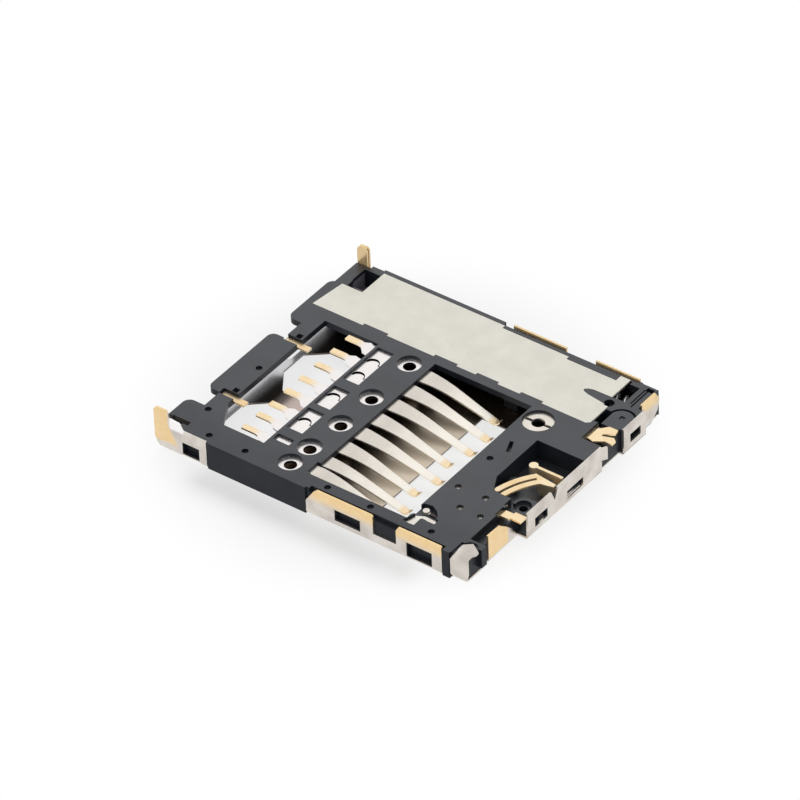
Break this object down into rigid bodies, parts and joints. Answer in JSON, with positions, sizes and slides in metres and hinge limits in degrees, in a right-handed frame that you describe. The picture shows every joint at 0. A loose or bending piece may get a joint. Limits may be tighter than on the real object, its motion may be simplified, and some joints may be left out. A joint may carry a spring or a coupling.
{
  "type": "memory card connector",
  "caption": "Low push-in, push-out card socket with a windowed black housing, bright spring contacts, a folded steel cover and a pale plate over the ejector",
  "frame": {"origin": "on the cover's outer face, below the roots of the contact arms, half way across the width", "axes": "+X is the way the card goes in, +Y points to the ejector side, +Z points from the cover to the soldering side"},
  "size_m": [0.0368, 0.0298, 0.0051],
  "materials": {
    "housing_plastic": "fine satin moulding",
    "cover_steel": "bright rolled sheet, gold plated on the solder tabs",
    "plate_steel": "pale matt sheet",
    "contact_metal": "bright plating, gold at the tips and tails",
    "terminal_gold": "gold plating",
    "slider_plastic": "satin moulding",
    "spring_steel": "bright wire"
  },
  "bodies": {
    "frame": {"housing": "housing_plastic", "cover_shell": "cover_steel", "mechanism_plate": "plate_steel", "contact_1": "contact_metal", "contact_2": "contact_metal", "contact_3": "contact_metal", "contact_4": "contact_metal", "contact_5": "contact_metal", "contact_6": "contact_metal", "contact_7": "contact_metal", "contact_8": "contact_metal", "detect_fork_blade": "terminal_gold", "detect_fixed_blade": "terminal_gold", "twin_tail_terminal": "terminal_gold", "protect_blade": "terminal_gold", "protect_fixed_contact": "contact_metal", "entry_anchor_far": "terminal_gold", "entry_anchor_near": "terminal_gold", "ejector_spring": "spring_steel"},
    "slider": {"ejector_slider": "slider_plastic", "card_catch": "spring_steel"},
    "cam": {"cam_rod": "spring_steel"}
  },
  "joints": [
    {"name": "eject", "type": "slide", "parent": "frame", "child": "slider", "axis": [1, 0, 0], "range_m": [0, 0.0055], "stiffness_N_per_m": 150, "springref_m": -0.004, "deforming": ["ejector_spring"]},
    {"name": "cam_swing", "type": "hinge", "parent": "frame", "child": "cam", "pos_m": [-0.0112, 0.0114, 0.00249], "axis": [0, 0, 1], "range_deg": [0, 3.65]}
  ],
  "couplings": [
    {"joint": "cam_swing", "follows": "eject", "rad_per_m": 11.36}
  ]
}
